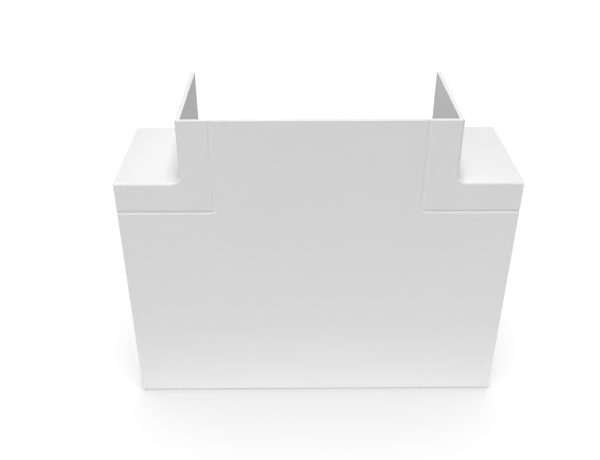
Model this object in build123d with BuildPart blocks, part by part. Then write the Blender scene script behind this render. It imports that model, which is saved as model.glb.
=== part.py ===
"""Flat tee cover for rectangular cable trunking, 100 x 50 mm.

The cover is one injection moulding in rigid white plastic. It is an open-backed hood in the shape of a T: a flat
T-shaped face, with walls folded back from it along the bottom of the run, along both shoulders and along both
sides of the branch. The two ends of the run, the end of the branch and the whole back are open, so the cover
pushes over the place where one trunking branches off another.

Frame, in millimetres: X along the run, Y from the face to the rim, Z up along the branch. The origin is the centre
of the bottom of the cover, which is what it stands on.
"""

import os

from build123d import *

# The trunking that each of the three arms takes.
trunking_width = 100.0
trunking_depth = 50.0
fit_gap = 0.2

# The moulding: its wall, and how far each arm reaches past the crossing of the two trunkings.
wall = 1.7
arm_length = 25.0

# The rim stops this far short of the surface that the trunking is fixed to.
rim_setback = 0.4

# Rounding: the two inside corners of the T, the folds round the face, and the same folds seen from inside.
corner_radius = 3.5
fold_radius = 1.0
inner_fold_radius = 0.6

# The L-shaped line sunk in the face at each inside corner, and the land that it marks off. The inner radius is that
# of the line's tight side where it turns.
land_width = 12.3
line_width = 1.8
line_depth = 0.35
line_inner_radius = 0.3

# The low beads inside the walls, which catch behind the edges of the trunking's lid.
bead_width = 1.8
bead_height = 0.45
bead_length = 10.0
bead_behind_face = 8.5
bead_from_end = 7.0
bottom_bead_count = 4

# How far every cut runs past the surface that it leaves.
overrun = 2.0

# Worked out from the sizes above.
run_height = trunking_width + 2 * (fit_gap + wall)
branch_width = run_height
run_length = branch_width + 2 * arm_length
total_height = run_height + arm_length
depth = trunking_depth + wall - rim_setback

face_plane = Plane.XZ.offset(depth / 2)
backwards = Vector(0, 1, 0)


def tee_outline(plane, inset, past_ends):
    """The T on a plane, its walls moved in by inset and its three open ends carried past_ends further out."""
    with BuildSketch(plane) as outline:
        with Locations((0, inset)):
            Rectangle(
                run_length + 2 * past_ends,
                run_height - 2 * inset,
                align=(Align.CENTER, Align.MIN),
            )
            Rectangle(
                branch_width - 2 * inset,
                total_height + past_ends - inset,
                align=(Align.CENTER, Align.MIN),
            )
        shoulder_points = outline.vertices().group_by(Axis.Y)[1]
        inside_corners = shoulder_points.sort_by(lambda point: abs(point.X))[:2]
        fillet(inside_corners, corner_radius + inset)
    return outline.sketch


def folds(part):
    """The edges where the front of a T-shaped block turns into its walls, without those at its open ends."""
    front = part.faces().sort_by(Axis.Y)[0]
    box = front.bounding_box()
    return front.edges().filter_by(
        lambda edge: box.min.X < edge.center().X < box.max.X
        and edge.center().Z < box.max.Z
    )


def bead():
    """A low round-topped ridge along X, with its crown above the origin and its root half a wall below it."""
    root = wall / 2
    with BuildPart() as ridge:
        with BuildSketch(Plane.YZ):
            with BuildLine():
                crown = ThreePointArc(
                    (-bead_width / 2, 0), (0, bead_height), (bead_width / 2, 0)
                )
                Polyline(
                    crown @ 1,
                    (bead_width / 2, -root),
                    (-bead_width / 2, -root),
                    crown @ 0,
                )
            make_face()
        extrude(amount=bead_length / 2, both=True)
    return ridge.part


def bead_places():
    """Where the beads sit: along the bottom, under both shoulders, and on both sides of the branch."""
    y = wall + bead_behind_face - depth / 2
    from_end = bead_from_end + bead_length / 2
    outer_x = run_length / 2 - from_end
    inside_x = branch_width / 2 - wall
    upper_z = run_height - wall
    branch_z = total_height - from_end
    step = 2 * outer_x / (bottom_bead_count - 1)
    bottom = [
        Location((n * step - outer_x, y, wall)) for n in range(bottom_bead_count)
    ]
    shoulders = [
        Location((side * outer_x, y, upper_z), (180, 0, 0)) for side in (-1, 1)
    ]
    branch = [
        Location((side * inside_x, y, branch_z), (0, -90 * side, 0)) for side in (-1, 1)
    ]
    return bottom + shoulders + branch


# The space inside, a T that runs out through the three ends and the back.
with BuildPart() as cavity:
    extrude(
        tee_outline(face_plane.offset(-wall), wall, overrun),
        amount=depth - wall + overrun,
        dir=backwards,
    )
    fillet(folds(cavity.part), inner_fold_radius)

# A trough-shaped cutter for the L-shaped lines: it follows each land's edge and leaves both ends of the face.
line_x = branch_width / 2 - land_width
line_z = run_height - land_width
with BuildPart() as line_cutter:
    with BuildLine(face_plane) as course:
        FilletPolyline(
            (line_x, total_height + overrun),
            (line_x, line_z),
            (run_length / 2 + overrun, line_z),
            radius=line_inner_radius + line_width / 2,
        )
    with BuildSketch(Plane(course.line @ 0, x_dir=(1, 0, 0), z_dir=course.line % 0)):
        with BuildLine():
            trough = ThreePointArc(
                (-line_width / 2, 0), (0, -line_depth), (line_width / 2, 0)
            )
            Polyline(
                trough @ 1,
                (line_width / 2, overrun),
                (-line_width / 2, overrun),
                trough @ 0,
            )
        make_face()
    sweep()
    mirror(about=Plane.YZ)

# The cover: a T-shaped block, rounded at its folds, hollowed, lined and beaded.
with BuildPart() as tee_cover:
    extrude(tee_outline(face_plane, 0, 0), amount=depth, dir=backwards)
    fillet(folds(tee_cover.part), fold_radius)
    add(cavity.part, mode=Mode.SUBTRACT)
    add(line_cutter.part, mode=Mode.SUBTRACT)
    with Locations(*bead_places()):
        add(bead())
tee_cover.part.label = "tee_cover"

os.makedirs("parts", exist_ok=True)
export_step(tee_cover.part, "parts/tee_cover.step")

print(f"run {run_length:.1f} x {run_height:.1f}, height {total_height:.1f}, depth {depth:.1f} mm")
print(f"volume {tee_cover.part.volume / 1000:.2f} cm3, valid {tee_cover.part.is_valid}")
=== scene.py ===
# %% [markdown]
# # A white tee cover for cable trunking
#
# The object is one injection moulding: a T-shaped hood that pushes over the place where one cable
# trunking branches off another. Its walls, its rounded folds and the fine lines on its face are
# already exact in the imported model, so this lesson keeps that mesh as it is. It adds what a CAD
# model lacks: the skin of moulded plastic, a pale floor, soft studio light and a camera that
# stands where the photographer stood. All lengths are in metres.

import math

import bpy
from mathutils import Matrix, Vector


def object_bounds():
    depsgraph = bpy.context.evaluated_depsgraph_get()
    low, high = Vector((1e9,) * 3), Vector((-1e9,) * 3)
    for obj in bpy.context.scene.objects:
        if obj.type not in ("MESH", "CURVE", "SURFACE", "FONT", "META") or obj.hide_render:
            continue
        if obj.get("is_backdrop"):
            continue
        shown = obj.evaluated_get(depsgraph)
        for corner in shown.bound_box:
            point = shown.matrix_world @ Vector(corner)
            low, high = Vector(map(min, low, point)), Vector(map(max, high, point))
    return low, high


mm_per_metre = 1000

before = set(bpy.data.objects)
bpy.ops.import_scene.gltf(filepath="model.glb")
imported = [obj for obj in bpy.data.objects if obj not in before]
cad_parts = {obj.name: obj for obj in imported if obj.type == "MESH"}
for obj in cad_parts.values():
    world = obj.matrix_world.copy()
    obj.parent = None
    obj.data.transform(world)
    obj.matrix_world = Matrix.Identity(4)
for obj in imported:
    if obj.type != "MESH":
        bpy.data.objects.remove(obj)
cad_low, cad_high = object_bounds()
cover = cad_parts["tee_cover"]
cover_width = mm_per_metre * (cad_high - cad_low).x
print(f"cover: {len(cover.data.polygons)} faces, {cover_width:.1f} mm wide")

# %% [markdown]
# The photograph looks down on the cover from in front, almost square on. The camera is placed
# first, because the light is judged through it. Its place is given from the object itself: how
# far in front of the face it stands, how high above the floor and how far it looks down. The lens
# then sets how strongly the cover narrows towards its foot, which is what makes this picture
# recognisable.

# %% Camera
eye_left_of_centre = 0.0093
eye_before_face = 0.2449
eye_height = 0.2337
level = math.radians(90)
look_down = math.radians(31.55)
turn_right = math.radians(0.51)
lens_mm = 44.49
nearest_seen = 0.01

camera = bpy.data.objects.new("camera", bpy.data.cameras.new("camera"))
bpy.context.scene.collection.objects.link(camera)
camera.data.lens = lens_mm
camera.data.clip_start = nearest_seen
camera.location = (-eye_left_of_centre, cad_low.y - eye_before_face, eye_height)
camera.rotation_euler = (level - look_down, 0, -turn_right)
bpy.context.scene.camera = camera
bpy.context.scene.view_settings.view_transform = "Standard"
print(f"camera: {mm_per_metre * camera.location.length:.0f} mm from the foot of the cover")


# %% [markdown]
# Materials are built from nodes, and a node is easier to read when it is made in one line. These
# two helpers make a node with its values already set, and a material whose tree is empty.

# %% Helpers for node trees
def add_node(tree, kind, settings=None, **inputs):
    """A new node in the tree, with its settings and the values of its named inputs."""
    node = tree.nodes.new(kind)
    for name, value in (settings or {}).items():
        setattr(node, name, value)
    for name, value in inputs.items():
        node.inputs[name.replace("_", " ")].default_value = value
    return node


def empty_material(name):
    """A node material with nothing in it but its output."""
    material = bpy.data.materials.new(name)
    material.use_nodes = True
    material.node_tree.nodes.clear()
    output = add_node(material.node_tree, "ShaderNodeOutputMaterial")
    return material, material.node_tree, output


# %% [markdown]
# A mould is spark-eroded, which leaves a fine even grain on the plastic, and the melt cools
# unevenly, which leaves broad and very faint differences in tone and gloss. Painting that on a
# picture would need an unwrapped mesh and a size in pixels. Noise that is read at a place on the
# object needs neither, so the skin is one node group: it takes a place, a colour and a roughness,
# with the sizes and strengths of its grain and clouds, and gives a tone, a roughness and a height.

# %% Moulded skin: its inputs and outputs
skin_inputs = {
    "Place": "NodeSocketVector",
    "Colour": "NodeSocketColor",
    "Tone Change": "NodeSocketFloat",
    "Roughness": "NodeSocketFloat",
    "Gloss Change": "NodeSocketFloat",
    "Grain Size": "NodeSocketFloat",
    "Cloud Size": "NodeSocketFloat",
}
skin_outputs = {
    "Colour": "NodeSocketColor",
    "Roughness": "NodeSocketFloat",
    "Height": "NodeSocketFloat",
}

moulded_skin = bpy.data.node_groups.new("moulded_skin", "ShaderNodeTree")
for direction, sockets in (("INPUT", skin_inputs), ("OUTPUT", skin_outputs)):
    for name, kind in sockets.items():
        moulded_skin.interface.new_socket(name=name, in_out=direction, socket_type=kind)
skin_given = add_node(moulded_skin, "NodeGroupInput")
skin_result = add_node(moulded_skin, "NodeGroupOutput")
print("node group:", moulded_skin.name, list(skin_inputs), "to", list(skin_outputs))

# %% [markdown]
# Both the grain and the clouds are noise, and differ only in size and in how much finer noise is
# laid over them. A noise value lies about a half, so taking the half away and scaling what is
# left gives a change that goes as far up as down.

# %% Moulded skin: noise of a size, and a change about the middle
noise_middle = 0.5


def noise_of_size(size_name, detail):
    """Noise whose blots are as large, in metres, as the group's named input says."""
    per_metre = add_node(moulded_skin, "ShaderNodeMath", {"operation": "DIVIDE"})
    per_metre.inputs[0].default_value = 1
    noise = add_node(moulded_skin, "ShaderNodeTexNoise", Detail=detail)
    link = moulded_skin.links.new
    link(skin_given.outputs[size_name], per_metre.inputs[1])
    link(skin_given.outputs["Place"], noise.inputs["Vector"])
    link(per_metre.outputs[0], noise.inputs["Scale"])
    return noise.outputs["Fac"]


def change_about_middle(noise, amount_name):
    """The noise moved to lie about zero, and scaled by the group's named input."""
    centred = add_node(moulded_skin, "ShaderNodeMath", {"operation": "SUBTRACT"})
    centred.inputs[1].default_value = noise_middle
    scaled = add_node(moulded_skin, "ShaderNodeMath", {"operation": "MULTIPLY"})
    link = moulded_skin.links.new
    link(noise, centred.inputs[0])
    link(centred.outputs[0], scaled.inputs[0])
    link(skin_given.outputs[amount_name], scaled.inputs[1])
    return scaled.outputs[0]


# %% [markdown]
# The clouds make the colour a little lighter or darker, and the roughness a little higher or
# lower. The grain goes out as a height, which the material hands to a Bump node.

# %% Moulded skin: tone, roughness and height
cloud_detail = 2
grain_detail = 3


def fill_moulded_skin():
    """Joins clouds and grain to the group's outputs."""
    link = moulded_skin.links.new
    clouds = noise_of_size("Cloud Size", cloud_detail)
    grain = noise_of_size("Grain Size", grain_detail)

    tone = add_node(moulded_skin, "ShaderNodeMath", {"operation": "ADD"})
    tone.inputs[1].default_value = 1
    tinted = add_node(moulded_skin, "ShaderNodeVectorMath", {"operation": "SCALE"})
    link(change_about_middle(clouds, "Tone Change"), tone.inputs[0])
    link(skin_given.outputs["Colour"], tinted.inputs[0])
    link(tone.outputs[0], tinted.inputs["Scale"])
    link(tinted.outputs[0], skin_result.inputs["Colour"])

    rough = add_node(moulded_skin, "ShaderNodeMath", {"operation": "ADD"})
    link(skin_given.outputs["Roughness"], rough.inputs[0])
    link(change_about_middle(clouds, "Gloss Change"), rough.inputs[1])
    link(rough.outputs[0], skin_result.inputs["Roughness"])
    link(grain, skin_result.inputs["Height"])


fill_moulded_skin()
print("nodes in the group:", len(moulded_skin.nodes))


# %% [markdown]
# The cover is rigid white PVC with the dull skin that a spark-eroded mould leaves: it takes no
# mirror images, only a soft brightening where a surface looks towards a lamp. So it gets one
# Principled shader with a high roughness. Its white is a little under full white, as real plastic
# is, so that the faces that look up stay just below the white of the page. A bump of a few
# thousandths of a millimetre carries the grain: it doesn't show from a step away, and up close it
# breaks the highlights as a real mould's grain does.

# %% White plastic
plastic_white = (0.82, 0.82, 0.82, 1)
plastic_tone_change = 0.01
plastic_roughness = 0.6
plastic_gloss_change = 0.05
plastic_ior = 1.5
grain_size = 0.0004
grain_height = 0.000004
cloud_size = 0.03


def make_white_plastic():
    """Dull white moulded plastic, the same on every side of the cover."""
    material, tree, output = empty_material("white_plastic")
    link = tree.links.new
    place = add_node(tree, "ShaderNodeTexCoord")
    skin = add_node(
        tree,
        "ShaderNodeGroup",
        {"node_tree": moulded_skin},
        Colour=plastic_white,
        Tone_Change=plastic_tone_change,
        Roughness=plastic_roughness,
        Gloss_Change=plastic_gloss_change,
        Grain_Size=grain_size,
        Cloud_Size=cloud_size,
    )
    bump = add_node(tree, "ShaderNodeBump", Distance=grain_height)
    plastic = add_node(tree, "ShaderNodeBsdfPrincipled", IOR=plastic_ior)
    link(place.outputs["Object"], skin.inputs["Place"])
    link(skin.outputs["Height"], bump.inputs["Height"])
    link(skin.outputs["Colour"], plastic.inputs["Base Color"])
    link(skin.outputs["Roughness"], plastic.inputs["Roughness"])
    link(bump.outputs["Normal"], plastic.inputs["Normal"])
    link(plastic.outputs["BSDF"], output.inputs["Surface"])
    return material


white_plastic = make_white_plastic()
for slot in cover.material_slots:
    slot.material = white_plastic
print("cover's material:", [slot.material.name for slot in cover.material_slots])


# %% [markdown]
# The page behind the cover is white, with a soft shadow only where the cover stands. A floor that
# is lit up to full white would throw far too much light back. So the floor and the room each have
# two faces, one for the eye and for reflections, and one for the bounces that light the object.
# The Light Path node tells the two apart.

# %% A mask for what is seen directly
def seen_directly(tree):
    """1 for the eye and for reflections, and 0 for the bounces that light the object."""
    path = add_node(tree, "ShaderNodeLightPath")
    mask = path.outputs["Is Camera Ray"]
    for ray in ("Is Glossy Ray", "Is Transmission Ray"):
        either = add_node(tree, "ShaderNodeMath", {"operation": "MAXIMUM"})
        tree.links.new(mask, either.inputs[0])
        tree.links.new(path.outputs[ray], either.inputs[1])
        mask = either.outputs[0]
    return mask


# %% [markdown]
# Where the cover stands close, less light reaches the paper. An Ambient Occlusion node measures
# that,
# and two of them paint shade on the page: one reaches a hand's breadth and paints the broad soft
# shadow, the other reaches a few millimetres and paints the thin dark line along the foot.

# %% Painted shade near the cover
contact_reach = 0.088
contact_depth = 0.535
foot_reach = 0.003
foot_depth = 0.14
print(f"shade reaches {mm_per_metre * contact_reach:.0f} and {mm_per_metre * foot_reach:.0f} mm")


def shade_within(tree, reach, depth):
    """1 in the open, and less by up to the depth where something stands within the reach."""
    # painted shade: the page gets darker where the cover stands within the reach
    openness = add_node(tree, "ShaderNodeAmbientOcclusion", Distance=reach)
    shade = add_node(tree, "ShaderNodeMapRange", To_Min=1 - depth, To_Max=1)
    tree.links.new(openness.outputs["AO"], shade.inputs["Value"])
    return shade.outputs["Result"]


def shade_near_cover(tree):
    """The broad painted shadow and the fine one along the foot, laid over each other."""
    both = add_node(tree, "ShaderNodeMath", {"operation": "MULTIPLY"})
    tree.links.new(shade_within(tree, contact_reach, contact_depth), both.inputs[0])
    tree.links.new(shade_within(tree, foot_reach, foot_depth), both.inputs[1])
    return both.outputs[0]


# %% [markdown]
# To the bounces, the floor is a pale grey paper. To the eye it is a white page: a part of its
# white comes from a diffuse shader, so it takes some of the real shadows, and the rest is a glow.
# Both are darkened by the painted shade near the cover. Further out the glow rises to full white,
# so no edge of the floor can be seen.

# %% Floor paper
floor_grey = (0.8, 0.8, 0.8, 1)
page_grey = (0.27, 0.27, 0.27)
page_glow = 0.82
page_fades_from = 0.2
page_fades_to = 0.5


def glow_of_page(tree):
    """How strongly the page glows: less near the cover, and fully further out."""
    place = add_node(tree, "ShaderNodeTexCoord")
    away = add_node(tree, "ShaderNodeVectorMath", {"operation": "LENGTH"})
    fade = add_node(
        tree,
        "ShaderNodeMapRange",
        From_Min=page_fades_from,
        From_Max=page_fades_to,
        To_Min=page_glow,
        To_Max=1,
    )
    tree.links.new(place.outputs["Object"], away.inputs[0])
    tree.links.new(away.outputs["Value"], fade.inputs["Value"])
    return fade.outputs["Result"]


def make_floor_paper():
    """Pale paper that looks like a white page, with painted shade round the foot of what stands on
    it.
    """
    material, tree, output = empty_material("floor_paper")
    link = tree.links.new
    paper = add_node(tree, "ShaderNodeBsdfDiffuse", Color=floor_grey)
    page = add_node(tree, "ShaderNodeBsdfDiffuse")
    glow = add_node(tree, "ShaderNodeEmission")
    page_and_glow = add_node(tree, "ShaderNodeAddShader")
    chosen = add_node(tree, "ShaderNodeMixShader")
    # painted shade round the cover's foot, which darkens both the page's colour and its glow
    shade = shade_near_cover(tree)
    shaded_page = add_node(tree, "ShaderNodeVectorMath", {"operation": "SCALE"})
    shaded_page.inputs[0].default_value = page_grey
    link(shade, shaded_page.inputs["Scale"])
    link(shaded_page.outputs[0], page.inputs["Color"])
    link(shade, glow.inputs["Color"])
    link(glow_of_page(tree), glow.inputs["Strength"])
    link(page.outputs[0], page_and_glow.inputs[0])
    link(glow.outputs[0], page_and_glow.inputs[1])
    link(seen_directly(tree), chosen.inputs["Fac"])
    link(paper.outputs[0], chosen.inputs[1])
    link(page_and_glow.outputs[0], chosen.inputs[2])
    link(chosen.outputs[0], output.inputs["Surface"])
    return material


floor_paper = make_floor_paper()
print("floor's material:", floor_paper.name, "with", len(floor_paper.node_tree.nodes), "nodes")


# %% [markdown]
# The floor is one flat square, wide enough to reach out of every view. It lies at the height on
# which the cover stands, and is marked as stage, because it isn't part of the object.

# %% Lay the floor
floor_half_width = 4.0


def make_floor():
    """A wide flat square under the cover."""
    mesh = bpy.data.meshes.new("floor")
    side = floor_half_width
    corners = [(-side, -side, 0), (side, -side, 0), (side, side, 0), (-side, side, 0)]
    mesh.from_pydata(corners, [], [(0, 1, 2, 3)])
    mesh.materials.append(floor_paper)
    floor = bpy.data.objects.new("floor", mesh)
    bpy.context.scene.collection.objects.link(floor)
    floor.location.z = cad_low.z
    floor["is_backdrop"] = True
    return floor


floor = make_floor()
print("floor:", tuple(floor.dimensions))

# %% [markdown]
# The room gives a low even light, which keeps the sides that no lamp reaches from going black.
# For the eye it is plain white, so that the page goes on above the floor's edge from any side.

# %% Room light
white = (1, 1, 1, 1)
room_brightness = 0.05
page_brightness = 1


def make_world():
    """A dim even room that is plain white where it is looked at."""
    world = bpy.data.worlds.new("studio")
    world.use_nodes = True
    tree = world.node_tree
    tree.nodes.clear()
    link = tree.links.new
    room = add_node(tree, "ShaderNodeBackground", Color=white, Strength=room_brightness)
    page = add_node(tree, "ShaderNodeBackground", Color=white, Strength=page_brightness)
    mixed = add_node(tree, "ShaderNodeMixShader")
    output = add_node(tree, "ShaderNodeOutputWorld")
    link(seen_directly(tree), mixed.inputs["Fac"])
    link(room.outputs[0], mixed.inputs[1])
    link(page.outputs[0], mixed.inputs[2])
    link(mixed.outputs[0], output.inputs["Surface"])
    bpy.context.scene.world = world


make_world()
print("room brightness:", room_brightness)

# %% [markdown]
# Softboxes shape what the room leaves flat. Each lamp is given by the brightness of its cloth,
# and its power is worked out from that, so that a bigger box is a softer one and a stronger one,
# as in a studio.

# %% A softbox
watts_per_square_metre = 4.0
middle = (cad_low + cad_high) / 2


def add_softbox(name, place, width, depth, brightness, aim=middle):
    """A rectangular soft lamp that faces the cover and isn't seen itself."""
    lamp = bpy.data.lights.new(name, "AREA")
    lamp.shape = "RECTANGLE"
    lamp.size, lamp.size_y = width, depth
    lamp.energy = watts_per_square_metre * brightness * width * depth
    holder = bpy.data.objects.new(name, lamp)
    bpy.context.scene.collection.objects.link(holder)
    holder.location = place
    holder.rotation_euler = (aim - place).to_track_quat("-Z", "Y").to_euler()
    holder.visible_camera = False


print("softboxes aim at:", tuple(middle))


# %% [markdown]
# The main box hangs high up and a little in front of the cover. Its light grazes the upright
# face, so the shoulders are almost white, the face is light grey and the insides of the branch
# are darker. A lamp straight overhead would shine along the face and could not enter the fine
# lines. From a little in front it lights the lower side of each line and leaves the upper side
# dark, which is what draws them, and it leaves a soft darker band on the shoulders beside the
# branch. The boxes on the left and the right even out the two sides, and the two behind the cover
# keep its open back readable.

# %% Softboxes round the cover
softboxes = {
    # name: (place, width, depth, brightness)
    "above": (Vector((0.02, -0.23, 0.98)), 0.4, 0.4, 11.0),
    "high_left": (Vector((-0.39, -0.47, 0.79)), 0.4, 0.4, 1.4),
    "left": (Vector((-0.42, -0.3, 0.24)), 0.2, 0.2, 2.45),
    "low_right": (Vector((0.32, -0.25, 0.09)), 0.14, 0.14, 1.75),
    "behind": (Vector((0.21, 0.58, 0.79)), 0.4, 0.4, 1.2),
    "low_behind": (Vector((0.0, 1.2, 0.12)), 0.5, 0.2, 4.8),
}
for name, (place, width, depth, brightness) in softboxes.items():
    add_softbox("softbox_" + name, place, width, depth, brightness)
print("softboxes:", list(softboxes))

# %% [markdown]
# The face brightens towards its foot. In a studio that comes from light that is thrown up by the
# paper right in front of the object, so two cards lie there, one inside the other, and face
# upwards. They stop half a millimetre short of the face, which leaves the rounded fold at its
# foot in the dark.

# %% Bounce cards in front of the face
card_width = 0.3
card_right_of_centre = 0.03
card_gap = 0.0005
card_height = 0.0001
upwards = Vector((0, 0, 1))
bounce_cards = {
    # name: (depth, brightness)
    "near": (0.025, 0.11),
    "wide": (0.12, 0.23),
}
for name, (depth, brightness) in bounce_cards.items():
    card_y = cad_low.y - card_gap - depth / 2
    place = Vector((card_right_of_centre, card_y, cad_low.z + card_height))
    add_softbox("bounce_card_" + name, place, card_width, depth, brightness, place + upwards)

# %% [markdown]
# The visual model has to be exactly as large as the CAD model. The last cell prints the heights of
# both, so that they can be compared.

# %% Print the sizes
visual_low, visual_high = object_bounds()
visual_height = mm_per_metre * (visual_high - visual_low).z
cad_height = mm_per_metre * (cad_high - cad_low).z
print(f"visual model: {visual_height:.1f} mm tall, CAD model: {cad_height:.1f} mm tall")
